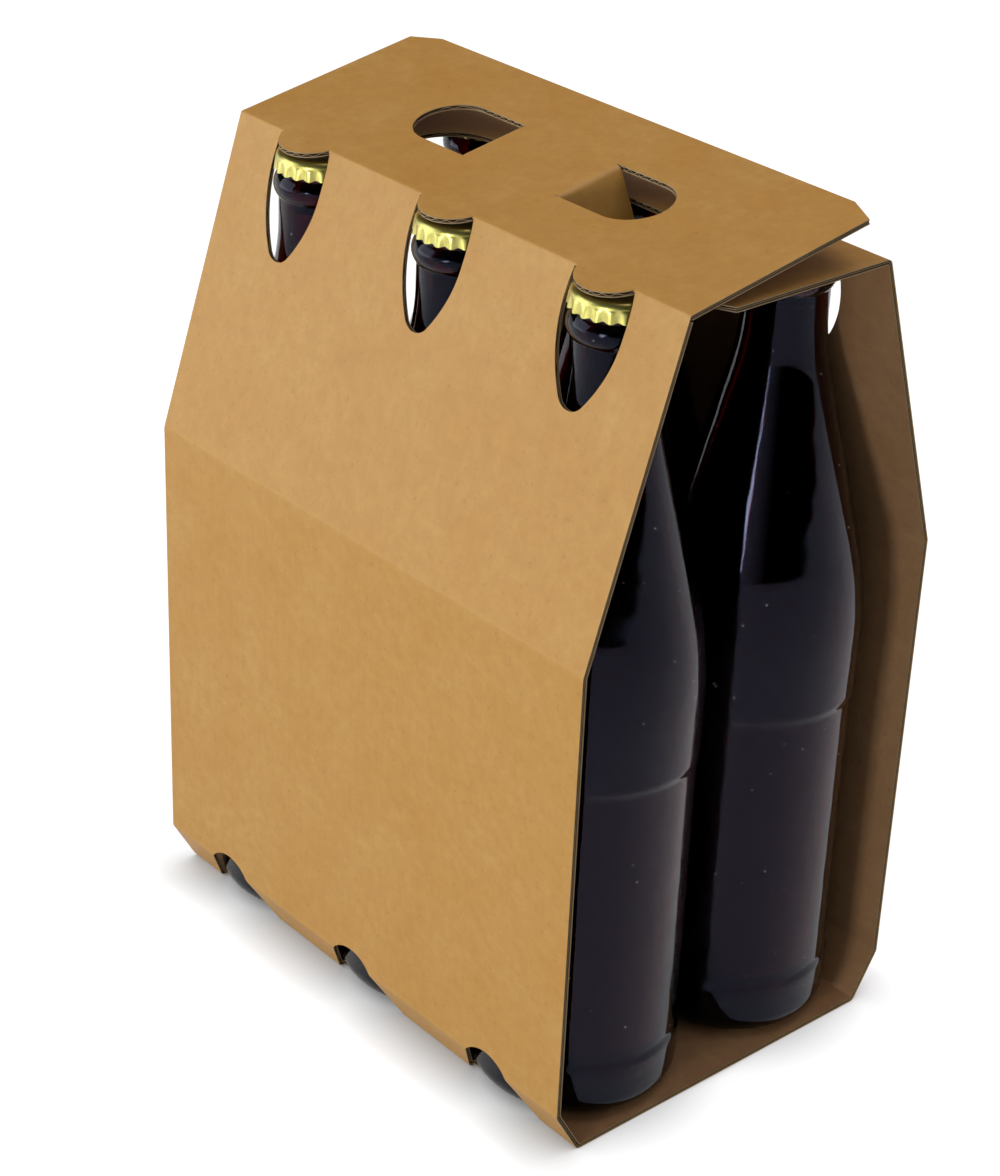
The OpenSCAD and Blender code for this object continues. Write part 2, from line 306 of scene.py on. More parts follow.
@dataclass(frozen=True)
class KraftPaper:
    """Unbleached kraft liner, machine-made: a matt brown paper, cloudy, with darker and paler fibre flecks."""

    name: str
    tone: str
    dark: str
    pale: str
    fleck: str
    roughness: float = 0.48
    ior: float = 1.5
    # The pulp settles in clouds and mottling; flecks and grain are coarser than real fibres, so that they show
    clouds: Pattern = Pattern(22.0, 3.0, 0.55)
    mottling: Pattern = Pattern(4.5, 5.0, 0.65)
    flecks: Pattern = Pattern(1.6, 2.0, 0.5)
    grain: Pattern = Pattern(0.8, 3.0, 0.7)
    cloud_span: tuple[float, float] = (0.3, 0.7)
    mottle_span: tuple[float, float] = (0.34, 0.66)
    mottle_share: float = 0.5
    fleck_span: tuple[float, float] = (0.64, 0.74)
    fleck_share: float = 0.3
    grain_deep_mm: float = 0.08
    grain_strength: float = 0.5
    # The liner shows the flutes under it as very shallow lines, and gets a pale painted highlight along its folds
    flute_mm: float = 3.2
    washboard_mm: float = 0.008
    fold_highlight_share: float = 0.25

    def material(self) -> bpy.types.Material:
        """Builds the paper: clouds and mottling in the colour, flecks, fibre grain, shallow flute lines and a
        painted highlight along the folds.

        Returns:
            The finished material.
        """
        material, tree, out = new_material(self.name)
        place = add(tree, "ShaderNodeTexCoord").outputs["Object"]
        cloud, mottle, fleck, grain = (
            add(tree, "ShaderNodeTexNoise", {"Vector": place, "Scale": per_metre(pattern.size_mm),
                                             "Detail": pattern.detail, "Roughness": pattern.carry}).outputs["Fac"]
            for pattern in (self.clouds, self.mottling, self.flecks, self.grain))
        cloudy, spotty, flecked = (
            add(tree, "ShaderNodeMapRange", {"Value": noise, "From Min": low, "From Max": high,
                                             "To Max": share}).outputs[0]
            for noise, (low, high), share in ((cloud, self.cloud_span, 1.0),
                                              (mottle, self.mottle_span, self.mottle_share),
                                              (fleck, self.fleck_span, self.fleck_share)))
        # Painted highlight: the paper turns paler where the crease attribute marks a fold
        folded = add(tree, "ShaderNodeAttribute", attribute_name=CREASE).outputs["Fac"]
        fold_highlight = add(tree, "ShaderNodeMath", {0: folded, 1: self.fold_highlight_share}, operation="MULTIPLY").outputs[0]
        colour = linear(self.tone)
        for share, over in ((cloudy, self.pale), (spotty, self.dark), (flecked, self.fleck), (fold_highlight, self.pale)):
            colour = add(tree, "ShaderNodeMix", {"Factor": share, "A": colour, "B": linear(over)},
                         data_type="RGBA").outputs["Result"]
        along = add(tree, "ShaderNodeSeparateXYZ", {0: place}).outputs["X"]
        phase = add(tree, "ShaderNodeMath", {0: along, 1: math.tau * per_metre(self.flute_mm)},
                    operation="MULTIPLY")
        flutes = add(tree, "ShaderNodeMath", {0: phase.outputs[0]}, operation="SINE")
        ribbed = add(tree, "ShaderNodeBump", {"Height": flutes.outputs[0], "Strength": 1.0,
                                              "Distance": self.washboard_mm * MM})
        rough = add(tree, "ShaderNodeBump", {"Height": grain, "Strength": self.grain_strength,
                                             "Distance": self.grain_deep_mm * MM, "Normal": ribbed.outputs[0]})
        shader = add(tree, "ShaderNodeBsdfPrincipled",
                     {"Base Color": colour, "Roughness": self.roughness, "IOR": self.ior,
                      "Normal": rough.outputs[0]})
        tree.links.new(shader.outputs[0], out.inputs["Surface"])
        return material


@dataclass(frozen=True)
class AmberGlass:
    """Amber container glass, blown in a mould: polished, faintly wavy, brown by what it absorbs."""

    name: str = "amber container glass"
    passes: tuple[float, float, float, float] = (0.82, 0.52, 0.02, 1.0)
    density: float = 2200.0
    roughness: float = 0.05
    ior: float = 1.52
    sheen: str = "#858DAE"
    wave_mm: float = 14.0
    wave_deep_mm: float = 0.25
    wave_strength: float = 0.6
    # Dust lies in specks about every 7 mm, a quarter of a millimetre in radius, coarser than real so that they show
    dust: str = "#C8CCD2"
    dust_mm: float = 7.0
    speck_share: float = 0.035

    def material(self) -> bpy.types.Material:
        """Builds the glass: a clear shell with an absorbing volume, slow waves in its surface and specks of dust.

        Returns:
            The finished material.
        """
        material, tree, out = new_material(self.name)
        place = add(tree, "ShaderNodeTexCoord").outputs["Object"]
        wave = add(tree, "ShaderNodeTexNoise", {"Vector": place, "Scale": per_metre(self.wave_mm), "Detail": 1.0})
        wavy = add(tree, "ShaderNodeBump", {"Height": wave.outputs["Fac"], "Strength": self.wave_strength,
                                            "Distance": self.wave_deep_mm * MM})
        shader = add(tree, "ShaderNodeBsdfPrincipled",
                     {"Base Color": WHITE, "Roughness": self.roughness, "IOR": self.ior,
                      "Specular Tint": linear(self.sheen), "Transmission Weight": 1.0, "Normal": wavy.outputs[0]})
        specks = add(tree, "ShaderNodeTexVoronoi", {"Vector": place, "Scale": per_metre(self.dust_mm)})
        near = add(tree, "ShaderNodeMath", {0: specks.outputs["Distance"], 1: self.speck_share},
                   operation="LESS_THAN")
        powder = add(tree, "ShaderNodeBsdfDiffuse", {"Color": linear(self.dust)})
        dusty = add(tree, "ShaderNodeMixShader", {0: near.outputs[0], 1: shader.outputs[0], 2: powder.outputs[0]})
        inside = add(tree, "ShaderNodeVolumeAbsorption", {"Color": self.passes, "Density": self.density})
        tree.links.new(dusty.outputs[0], out.inputs["Surface"])
        tree.links.new(inside.outputs[0], out.inputs["Volume"])
        return material


@dataclass(frozen=True)
class Beer:
    """Dark filtered beer: clear like water, brown by what it absorbs."""

    name: str = "dark beer"
    passes: tuple[float, float, float, float] = (0.80, 0.48, 0.02, 1.0)
    density: float = 210.0
    ior: float = 1.34

    def material(self) -> bpy.types.Material:
        """Builds the liquid as a smooth clear surface round an absorbing volume.

        Returns:
            The finished material.
        """
        material, tree, out = new_material(self.name)
        shader = add(tree, "ShaderNodeBsdfPrincipled",
                     {"Base Color": WHITE, "Roughness": 0.0, "IOR": self.ior, "Transmission Weight": 1.0})
        inside = add(tree, "ShaderNodeVolumeAbsorption", {"Color": self.passes, "Density": self.density})
        tree.links.new(shader.outputs[0], out.inputs["Surface"])
        tree.links.new(inside.outputs[0], out.inputs["Volume"])
        return material


@dataclass(frozen=True)
class GoldLacquer:
    """Gold-lacquered tinplate, pressed: yellow shiny metal with fine drawing marks under a clear coat."""

    name: str = "gold-lacquered tinplate"
    tone: str = "#DAD67E"
    worn: str = "#C0B458"
    roughness: tuple[float, float] = (0.28, 0.42)
    coat: float = 0.5
    coat_roughness: float = 0.08
    mark_mm: float = 0.9
    mark_deep_mm: float = 0.03
    mark_strength: float = 0.3

    def material(self) -> bpy.types.Material:
        """Builds the lacquered metal with patchy colour and roughness.

        Returns:
            The finished material.
        """
        material, tree, out = new_material(self.name)
        place = add(tree, "ShaderNodeTexCoord").outputs["Object"]
        marks = add(tree, "ShaderNodeTexNoise", {"Vector": place, "Scale": per_metre(self.mark_mm),
                                                 "Detail": 3.0}).outputs["Fac"]
        colour = add(tree, "ShaderNodeMix", {"Factor": marks, "A": linear(self.tone), "B": linear(self.worn)},
                     data_type="RGBA")
        smooth, dull = self.roughness
        patchy = add(tree, "ShaderNodeMapRange", {"Value": marks, "To Min": smooth, "To Max": dull})
        pressed = add(tree, "ShaderNodeBump", {"Height": marks, "Strength": self.mark_strength,
                                               "Distance": self.mark_deep_mm * MM})
        shader = add(tree, "ShaderNodeBsdfPrincipled",
                     {"Base Color": colour.outputs["Result"], "Metallic": 1.0, "Roughness": patchy.outputs[0],
                      "Coat Weight": self.coat, "Coat Roughness": self.coat_roughness,
                      "Normal": pressed.outputs[0]})
        tree.links.new(shader.outputs[0], out.inputs["Surface"])
        return material


@dataclass(frozen=True)
class SoftPolymer:
    """Soft sealing polymer, moulded in place: milky, matt and slightly uneven."""

    name: str = "moulded sealing polymer"
    tone: str = "#E2DED2"
    shade: str = "#CFC9B8"
    mottle_mm: float = 2.0
    roughness: float = 0.55
    ior: float = 1.5

    def material(self) -> bpy.types.Material:
        """Builds the polymer with a faint moulding mottle.

        Returns:
            The finished material.
        """
        material, tree, out = new_material(self.name)
        place = add(tree, "ShaderNodeTexCoord").outputs["Object"]
        mottle = add(tree, "ShaderNodeTexNoise", {"Vector": place, "Scale": per_metre(self.mottle_mm),
                                                  "Detail": 2.0})
        colour = add(tree, "ShaderNodeMix", {"Factor": mottle.outputs["Fac"], "A": linear(self.tone),
                                             "B": linear(self.shade)}, data_type="RGBA")
        shader = add(tree, "ShaderNodeBsdfPrincipled",
                     {"Base Color": colour.outputs["Result"], "Roughness": self.roughness, "IOR": self.ior})
        tree.links.new(shader.outputs[0], out.inputs["Surface"])
        return material


# Outside face, inside face, flutes and cut edges of the board
OUTER_KRAFT = KraftPaper("kraft liner, outside", "#CA9544", "#BE883A", "#D0A054", "#A27432")
INNER_KRAFT = KraftPaper("kraft liner, inside", "#A37A50", "#926A46", "#AC845C", "#70543A", roughness=0.75)
# The fluting paper's own brown, darkened as painted shade of its channels seen at the cut edges
SHADED_FLUTE_KRAFT = KraftPaper("fluting paper, painted shade", "#5E4628", "#503A20", "#685032", "#402E18", roughness=0.8,
                         washboard_mm=0.0)
CUT_KRAFT = KraftPaper("cut kraft edge", "#B3A07C", "#A08C68", "#BEAC8A", "#86704C", roughness=0.85,
                       washboard_mm=0.0)


# Corrugated board


@dataclass(frozen=True)
class Board:
    """Fine-flute corrugated board: two liners with a wave of paper between them."""

    thick: float = 1.6
    liner: float = 0.28
    paper: float = 0.2
    pitch: float = 3.2
    recess: float = 0.15
    liner_step: float = 6.0
    wave_step: float = 0.54

    @property
    def half(self) -> float:
        """Distance of each face from the board's middle plane."""
        return self.thick / 2

    @property
    def swing(self) -> float:
        """Height of the wave above the middle plane, between the liners."""
        return self.half - self.liner - self.paper / 2

    def top(self, layer: Layer, along: Array) -> Array:
        """Height of a layer's outward face above the middle plane.

        Liners are flat; the flutes follow swing times the cosine of tau times the distance along the rows over the
        pitch, plus half the paper.

        Args:
            layer: Sheet of the board.
            along: Distance along the rows in the flat blank.

        Returns:
            Heights in the shape of along.
        """
        if layer is Layer.FLUTES:
            return self.swing * np.cos(math.tau * along / self.pitch) + self.paper / 2
        return np.full_like(along, self.half if layer is Layer.OUTER else self.liner - self.half)

    def step(self, layer: Layer) -> float:
        """Longest step between columns of a layer's grid."""
        return self.wave_step if layer is Layer.FLUTES else self.liner_step

    def samples(self, layer: Layer, count: int) -> int:
        """Points on a curved edge of a layer: all of them on a liner, half as many on the flutes."""
        return count // 2 if layer is Layer.FLUTES else count

    def depth(self, layer: Layer) -> float:
        """Thickness of a layer's paper."""
        return self.paper if layer is Layer.FLUTES else self.liner

    def inset(self, layer: Layer) -> float:
        """How far a layer's ends lie inside the board's: the knife crushes the flutes back a little."""
        return self.recess if layer is Layer.FLUTES else 0.0


class BoardLine(Protocol):
    """A line that the board follows, seen along the rows."""

    def at(self, s: Array, d: Array) -> tuple[Array, Array]:
        """Y and Z at distance s along the line and d out from the board's middle plane."""

    def crease(self, s: Array) -> Array:
        """Share of creasing at distance s along the line."""


@dataclass
class FoldedLine:
    """Straight stretches joined by round folds that all turn left, with the outside on the right."""

    corners: Array
    radii: Array
    # Width of the painted pale highlight beside each fold
    streak: float = 0.9

    def __post_init__(self) -> None:
        """Works out headings, distances and the round folds."""
        runs = np.diff(self.corners, axis=0)
        self.lengths = np.hypot(*runs.T)
        self.headings = np.arctan2(runs[:, 1], runs[:, 0])
        self.starts = np.concatenate([[0.0], np.cumsum(self.lengths)])
        self.turns = np.diff(self.headings)
        self.reach = self.radii * np.tan(self.turns / 2)

    def at(self, s: Array, d: Array) -> tuple[Array, Array]:
        """Places points along the line.

        On a straight stretch the point is the start plus s along the heading plus d to the right. Within reach of
        a fold it lies on a circle of radius plus d about the fold's centre, at an angle in proportion to s.

        Args:
            s: Distances along the cornered line.
            d: Distances out from the middle plane.

        Returns:
            Y and Z of the points.
        """
        run = np.clip(np.searchsorted(self.starts, s, side="right") - 1, 0, len(self.lengths) - 1)
        heading, left = self.headings[run], s - self.starts[run]
        y = self.corners[run, 0] + left * np.cos(heading) + d * np.sin(heading)
        z = self.corners[run, 1] + left * np.sin(heading) - d * np.cos(heading)
        for i, (turn, reach, radius) in enumerate(zip(self.turns, self.reach, self.radii)):
            share = (s - self.starts[i + 1]) / reach
            bent = np.abs(share) < 1
            middle = self.headings[i] + turn / 2 + math.pi / 2
            away = radius / math.cos(turn / 2)
            centre = self.corners[i + 1] + away * np.array([math.cos(middle), math.sin(middle)])
            angle = self.headings[i] - math.pi / 2 + turn * (share + 1) / 2
            y = np.where(bent, centre[0] + (radius + d) * np.cos(angle), y)
            z = np.where(bent, centre[1] + (radius + d) * np.sin(angle), z)
        return y, z

    def fold_rows(self, count: int) -> Array:
        """Rows that follow every fold and hold the panels beside it flat.

        Args:
            count: Rows on each fold.

        Returns:
            Distances along the line, unsorted.
        """
        folds, reach = self.starts[1:-1, None], self.reach[:, None]
        beside = np.array(BESIDE_FOLD)
        rows = [folds + reach * np.linspace(-1, 1, count), folds + reach + beside, folds - reach - beside]
        return np.concatenate([r.ravel() for r in rows])

    def crease(self, s: Array) -> Array:
        """Share of creasing: one on a fold, falling off as a bell over the streak beside it."""
        away = np.abs(s[..., None] - self.starts[1:-1]) - self.reach
        return np.exp(-(np.maximum(away, 0.0) / self.streak) ** 2).max(axis=-1)


@dataclass
class FlatLine:
    """A flat stretch from an origin; distances along it may be negative."""

    origin: tuple[float, float]
    heading: float
    up: int = -1

    def at(self, s: Array, d: Array) -> tuple[Array, Array]:
        """Y and Z at s along the heading, and d to the left of it where up is 1 or to the right where it is -1."""
        c, k = math.cos(self.heading), math.sin(self.heading)
        return self.origin[0] + s * c - self.up * d * k, self.origin[1] + s * k + self.up * d * c

    def crease(self, s: Array) -> Array:
        """No creasing on a flat stretch."""
        return np.zeros_like(s)


@dataclass
class NosedLine:
    """A flat stretch whose start is rounded about the fold: s from NOSE_START to 0 runs round it."""

    origin: tuple[float, float]
    heading: float
    wrap: float

    def at(self, s: Array, d: Array) -> tuple[Array, Array]:
        """Places points along the line.

        A point lies s along the heading with d to its left, or before zero on a circle of radius d about the fold.

        Args:
            s: Distances along the line, from NOSE_START.
            d: Distances out from the board's middle plane.

        Returns:
            Y and Z of the points.
        """
        angle = self.heading + math.pi / 2 + np.clip(s / NOSE_START, 0.0, 1.0) * self.wrap
        run = np.maximum(s, 0.0)
        return (self.origin[0] + run * math.cos(self.heading) + d * np.cos(angle),
                self.origin[1] + run * math.sin(self.heading) + d * np.sin(angle))

    def crease(self, s: Array) -> Array:
        """One round the fold, falling off over the first millimetres of the flap."""
        return np.exp(-np.maximum(s, 0.0) ** 2)


@dataclass
class TabLine:
    """Line of a finger tab along the rows, bent down about a hole's straight side."""

    x: float
    angle: float
    radius: float = 1.3

    @property
    def reach(self) -> float:
        """Length of the bend on each side of the fold."""
        return self.radius * math.tan(self.angle / 2)

    def at(self, s: Array, d: Array) -> tuple[Array, Array]:
        """Distance along the rows and height above the flap's middle plane.

        Before the bend the line is flat, in it it follows a circle of radius about a point below the flap, and after
        it it runs down at the tab's angle.

        Args:
            s: Distances from the fold.
            d: Distances out from the board's middle plane.

        Returns:
            Places along the rows, and heights.
        """
        turn = np.clip((s / self.reach + 1) / 2, 0.0, 1.0) * self.angle
        after = np.maximum(s - self.reach, 0.0)
        x = self.x - self.reach + (self.radius + d) * np.sin(turn) + after * math.cos(self.angle)
        w = -self.radius + (self.radius + d) * np.cos(turn) - after * math.sin(self.angle)
        return x, w

    def crease(self, s: Array) -> Array:
        """One on the bend, falling off as a bell beyond it."""
        return np.exp(-np.maximum(np.abs(s) - self.reach, 0.0) ** 2)


@dataclass
class Opening:
    """A hole in a sheet, between two edges given along the line, cut out over some stretches of it."""

    s: Array
    left: Array
    right: Array
    spans: list[tuple[float, float]]


def sheet_surface(line: BoardLine, rows: Array, ends: tuple[Array, Array], openings: list[Opening], board: Board,
                  layer: Layer, curl: Callable[[Array, Array], Array] | None = None) -> Surface:
    """One layer of a board with holes, as a grid over the line and the rows' direction.

    Every grid row has break points: both ends and both edges of each opening, in order. Columns share the distance
    between break points evenly, so the grid follows the edges, and faces inside an opening are left out.

    Args:
        line: Line that the board follows.
        rows: Distances along the line of the grid's rows.
        ends: Knots of the half length: distances along the line, and half lengths.
        openings: Holes in order along the rows.
        board: Make-up of the board.
        layer: Layer to build.
        curl: Function of x and s that lifts the board, or None.

    Returns:
        The layer as a closed sheet.
    """
    half = np.interp(rows, *ends) - board.inset(layer)
    edges = [e for o in openings for e in (np.interp(rows, o.s, o.left), np.interp(rows, o.s, o.right))]
    breaks = np.stack([-half, *edges, half])
    counts = np.ceil((breaks[1:] - breaks[:-1]).max(axis=1) / board.step(layer)).astype(int).clip(1)
    shares = [np.arange(n) / n for n in counts]
    x = np.concatenate([low[:, None] + (high - low)[:, None] * share
                        for low, high, share in zip(breaks[:-1], breaks[1:], shares)] + [half[:, None]], axis=1)
    s = np.broadcast_to(rows[:, None], x.shape)
    top = board.top(layer, x) + (curl(x, s) if curl else 0.0)
    keep = np.ones((len(rows) - 1, x.shape[1] - 1), dtype=bool)
    between = (rows[:-1] + rows[1:]) / 2
    first = np.concatenate([[0], np.cumsum(counts)])
    for k, opening in enumerate(openings):
        gone = np.any([(between > a) & (between < b) for a, b in opening.spans], axis=0)
        keep[np.ix_(gone, np.arange(first[2 * k + 1], first[2 * k + 2]))] = False
    return paper_sheet(lambda lift: np.stack([x, *line.at(s, lift)], axis=-1), top, board.depth(layer),
                       quads_of(*x.shape, keep), line.crease(s))


def merged_rows(*parts: Array, low: float, high: float, gap: float = 0.02) -> Array:
    """Sorted rows between two limits, without near doubles.

    Args:
        parts: Distances along the line.
        low: First row.
        high: Last row.
        gap: Rows closer than this count as one.

    Returns:
        The rows.
    """
    rows = np.sort(np.concatenate([np.atleast_1d(p) for p in parts] + [np.array([low, high])]))
    rows = rows[(rows >= low) & (rows <= high)]
    return rows[np.concatenate([[True], np.diff(rows) > gap])]


@dataclass
class Windows:
    """Cap windows of the slanted panels and the tongues that stand over them."""

    width: float = 26.4
    wide_s: float = 9.5
    length: float = 38.4
    tip_r: float = 6.0
    tongue_gap: float = 0.7
    tongue_out: float = 8.2

    def __post_init__(self) -> None:
        """Works out the side arcs, which touch the tip's circle from outside, and the tongue's disc."""
        self.tip_s = self.length - self.tip_r
        self.drop = self.tip_s - self.wide_s
        self.side_r = ((self.width / 2) ** 2 + self.drop ** 2 - self.tip_r ** 2) / (self.width - 2 * self.tip_r)
        self.side_x = self.side_r - self.width / 2
        self.tongue_half = math.sqrt(self.side_r ** 2 - self.wide_s ** 2) - self.side_x - self.tongue_gap
        self.tongue_r = (self.tongue_half ** 2 + self.tongue_out ** 2) / (2 * self.tongue_out)

    def knots(self, count: int) -> tuple[Array, Array]:
        """Edge of a window: a side arc that widens and closes again, then the tip's arc.

        Args:
            count: Points on each arc.

        Returns:
            Distances from the fold, and half widths there.
        """
        tip_a = math.atan2(self.drop, self.side_x)
        a = np.linspace(-math.asin(self.wide_s / self.side_r), tip_a, count)
        b = np.linspace(tip_a, math.pi / 2, count)[1:]
        s = np.concatenate([self.wide_s + self.side_r * np.sin(a), self.tip_s + self.tip_r * np.sin(b)])
        half = np.concatenate([self.side_r * np.cos(a) - self.side_x, self.tip_r * np.cos(b)])
        return s, np.maximum(half, 0.0)

    def tongue(self, inset: float, count: int) -> tuple[Array, Array]:
        """Edge of a tongue: an arc from its tip to where it joins the board.

        Args:
            inset: How far behind the fold it joins.
            count: Points on the arc.

        Returns:
            Distances from the fold into the flap, and half widths there.
        """
        centre = self.tongue_r - self.tongue_out
        a = np.linspace(math.pi / 2, math.asin((centre - inset) / self.tongue_r), count)
        return centre - self.tongue_r * np.sin(a), np.maximum(self.tongue_r * np.cos(a), 0.0)


@dataclass
class Holes:
    """Finger holes: a straight side nearest the middle and a round outer end."""

    x: float = 21.5
    length: float = 31.5
    width: float = 25.0

    def opening(self, centre: float, grow: float, side: int, straight: float, count: int) -> Opening:
        """A hole as an opening: straight inner edge, and an outer edge on a circle about the round end's centre.

        Args:
            centre: Distance of the hole's middle along the line.
            grow: How much larger the hole is all round.
            side: 1 for the right hole, -1 for the left one.
            straight: How far the straight side is moved towards the middle.
            count: Points on the round end.

        Returns:
            The opening, with its edges in order along the rows.
        """
        r = self.width / 2 + grow
        a = np.linspace(-math.pi / 2, math.pi / 2, count)
        s = centre + r * np.sin(a)
        outer = self.x + self.length - self.width / 2 + r * np.cos(a)
        inner = np.full_like(s, self.x - straight)
        left, right = (inner, outer) if side > 0 else (-outer, -inner)
        return Opening(s, left, right, [(s[0], s[-1])])


@dataclass
class Carton:
    """The folded sleeve with its inner flap, and the top flap with its finger tabs."""

    board: Board
    windows: Windows
    holes: Holes
    # The sleeve: its length and bottles along the rows, and where its middle plane folds
    length: float = 203.6
    rows_x: tuple[float, ...] = (-BOTTLE_PITCH, 0.0, BOTTLE_PITCH)
    wall_y: float = 70.4
    base_y: float = 61.4
    fold_y: float = 39.0
    shoulder_z: float = 170.2
    heel_z: float = 16.4
    inner_z: float = 268.55
    fold_z: float = 270.45
    fold_radii: tuple[float, ...] = (2.5, 2.0, 1.5, 1.5, 2.0, 2.5, 1.3)
    # The inner flap and the top flap: lengths to their chamfered corners, tilt, and the finger holes' middle
    inner_len: float = 61.0
    lid_len: float = 68.5
    lid_tilt: float = math.radians(10.5)
    chamfer_x: float = 10.4
    chamfer_y: float = 5.1
    hole_y: float = 35.6
    inner_grow: float = 3.0
    # Heel openings: half widths at the base and at the wall's fold, the arch above it and the notch in the base
    heel_base: float = 17.4
    heel_top: float = 9.5
    heel_arch: float = 4.4
    heel_notch: float = 1.5
    # The front top fold: where the layers under the outer liner start, and how far the flap's liner laps round
    free_start: float = 1.2
    nose_over: float = math.radians(4)
    # Finger tabs: how far they are bent, their clearance in the hole and their longest row
    tab_angle: float = math.radians(75)
    tab_gap: float = 0.4
    tab_row: float = 2.0
    # Half width of an opening where the board is whole, and how fast it gets there
    shut_half: float = 8.0
    run_in: float = 5.0
    lid_run_in: float = 2.0
    # Hump beside each front window: its place and spread along the rows and down the panel, and its lift
    hump_x: tuple[float, float] = (14.0, 5.0)
    hump_s: tuple[float, float] = (11.0, 8.0)
    hump_lift: float = 0.5
    # Points on each curved edge, and rows or columns on each bend
    window_points: int = 22
    heel_points: int = 14
    hole_points: int = 33
    tongue_points: int = 28
    tab_points: int = 40
    tab_columns: int = 13
    fold_rows: int = 10
    nose_rows: int = 9

    def __post_init__(self) -> None:
        """Lays out the middle line from the front top fold round to the inner flap's edge."""
        self.line = FoldedLine(np.array([
            [-self.fold_y, self.fold_z], [-self.wall_y, self.shoulder_z], [-self.wall_y, self.heel_z],
            [-self.base_y, self.board.half], [self.base_y, self.board.half], [self.wall_y, self.heel_z],
            [self.wall_y, self.shoulder_z], [self.fold_y, self.inner_z],
            [self.fold_y - self.inner_len - self.chamfer_y, self.inner_z],
        ]), np.array(self.fold_radii))
        self.folds = self.line.starts[1:-1]
        self.total = self.line.starts[-1]
        self.back_fold = self.folds[Fold.BACK_TOP]
        self.back_reach = self.line.reach[Fold.BACK_TOP]

    def heel_knots(self, count: int) -> tuple[Array, Array]:
        """Heel opening's half widths along the line, counted from the wall's lower fold towards the base.

        Above the fold the edge is an arch, below it runs straight to the base fold and then across the notch.

        Args:
            count: Points on the arch.

        Returns:
            Distances from the fold, and half widths.
        """
        r = (self.heel_top ** 2 + self.heel_arch ** 2) / (2 * self.heel_arch)
        a = np.linspace(0, math.asin(self.heel_top / r), count)
        up = self.heel_arch - r + r * np.cos(a)
        bevel = self.line.lengths[Fold.FRONT_BASE]
        s = np.concatenate([-up, [bevel, bevel + self.heel_notch]])
        return s, np.concatenate([r * np.sin(a), [self.heel_base, self.heel_base]])

    def bottle_opening(self, x: float, layer: Layer) -> Opening:
        """Windows and heel openings at one place along the rows, front and back, as one opening.

        Args:
            x: Place along the rows.
            layer: Layer that is cut.

        Returns:
            The opening, narrow where the board is whole.
        """
        ws, wh = self.windows.knots(self.board.samples(layer, self.window_points))
        hs, hh = self.heel_knots(self.board.samples(layer, self.heel_points))
        rest, run_in = self.shut_half, self.run_in
        back_end = self.back_fold + self.back_reach
        front_heel = self.folds[Fold.FRONT_HEEL] + hs
        back_heel = (self.folds[Fold.BACK_HEEL] - hs)[::-1]
        back_window = (self.back_fold - ws)[::-1]
        s = np.concatenate([
            ws, [ws[-1] + run_in, front_heel[0] - run_in], front_heel,
            back_heel, [back_heel[-1] + run_in, back_window[0] - run_in], back_window,
            [back_end, back_end + run_in, self.total],
        ])
        half = np.concatenate([
            wh, [rest, rest], hh, hh[::-1], [rest, rest], wh[::-1], [wh[0], rest, rest],
        ])
        spans = [
            (-run_in, ws[-1]), (front_heel[0], front_heel[-1]), (back_heel[0], back_heel[-1]),
            (back_window[0], back_end),
        ]
        return Opening(s, x - half, x + half, spans)

    def sleeve_openings(self, layer: Layer) -> list[Opening]:
        """Openings of the sleeve for bottles and fingers.

        Args:
            layer: Layer that is cut.

        Returns:
            The openings in order along the rows.
        """
        centre = self.back_fold + self.fold_y - (self.hole_y - self.fold_y)
        count = self.board.samples(layer, self.hole_points)
        left, right = (self.holes.opening(centre, self.inner_grow, side, self.inner_grow, count) for side in (-1, 1))
        one, two, three = (self.bottle_opening(x, layer) for x in self.rows_x)
        return [one, left, two, right, three]

    def window_curl(self, x: Array, s: Array) -> Array:
        """Lift of the board beside the front windows, where the caps press its right edges outwards.

        The lift is the sum of bells along the rows, one beside each window, times a bell down the panel.

        Args:
            x: Places along the rows.
            s: Distances from the front fold.

        Returns:
            Lift in millimetres.
        """
        (beside, wide), (down, high) = self.hump_x, self.hump_s
        hump = sum(np.exp(-((x - centre - beside) / wide) ** 2) for centre in self.rows_x)
        return self.hump_lift * hump * np.exp(-((s - down) / high) ** 2)

    def sleeve_layer(self, layer: Layer) -> dict[str, Surface]:
        """One layer of the sleeve with its inner flap and rear tongues.

        Args:
            layer: Layer to build.

        Returns:
            Surfaces by piece name: one for a liner, and two for the flutes, which meet on the back wall.
        """
        openings = self.sleeve_openings(layer)
        start = 0.0 if layer is Layer.OUTER else self.free_start
        ends = (np.array([0.0, self.total - self.chamfer_y, self.total]),
                np.array([0.0, 0.0, -self.chamfer_x]) + self.length / 2)
        count = self.board.samples(layer, self.fold_rows)
        knots = [self.line.fold_rows(count), ends[0], *(o.s for o in openings)]
        parting = (self.folds[Fold.BACK_HEEL] + self.folds[Fold.BACK_SHOULDER]) / 2
        stretches = {"": (start, self.total)}
        if layer is Layer.FLUTES:
            stretches = {"_front": (start, parting), "_back": (parting, self.total)}
        made = {}
        for suffix, (low, high) in stretches.items():
            rows = merged_rows(*knots, low=low, high=high)
            made[f"sleeve_{layer.value}{suffix}"] = sheet_surface(
                self.line, rows, ends, openings, self.board, layer, self.window_curl)
        last = list(made)[-1]
        flat = FlatLine((self.fold_y, self.inner_z), math.pi)
        made[last] = made[last].joined(*self.tongues(layer, flat, self.back_reach))
        return made

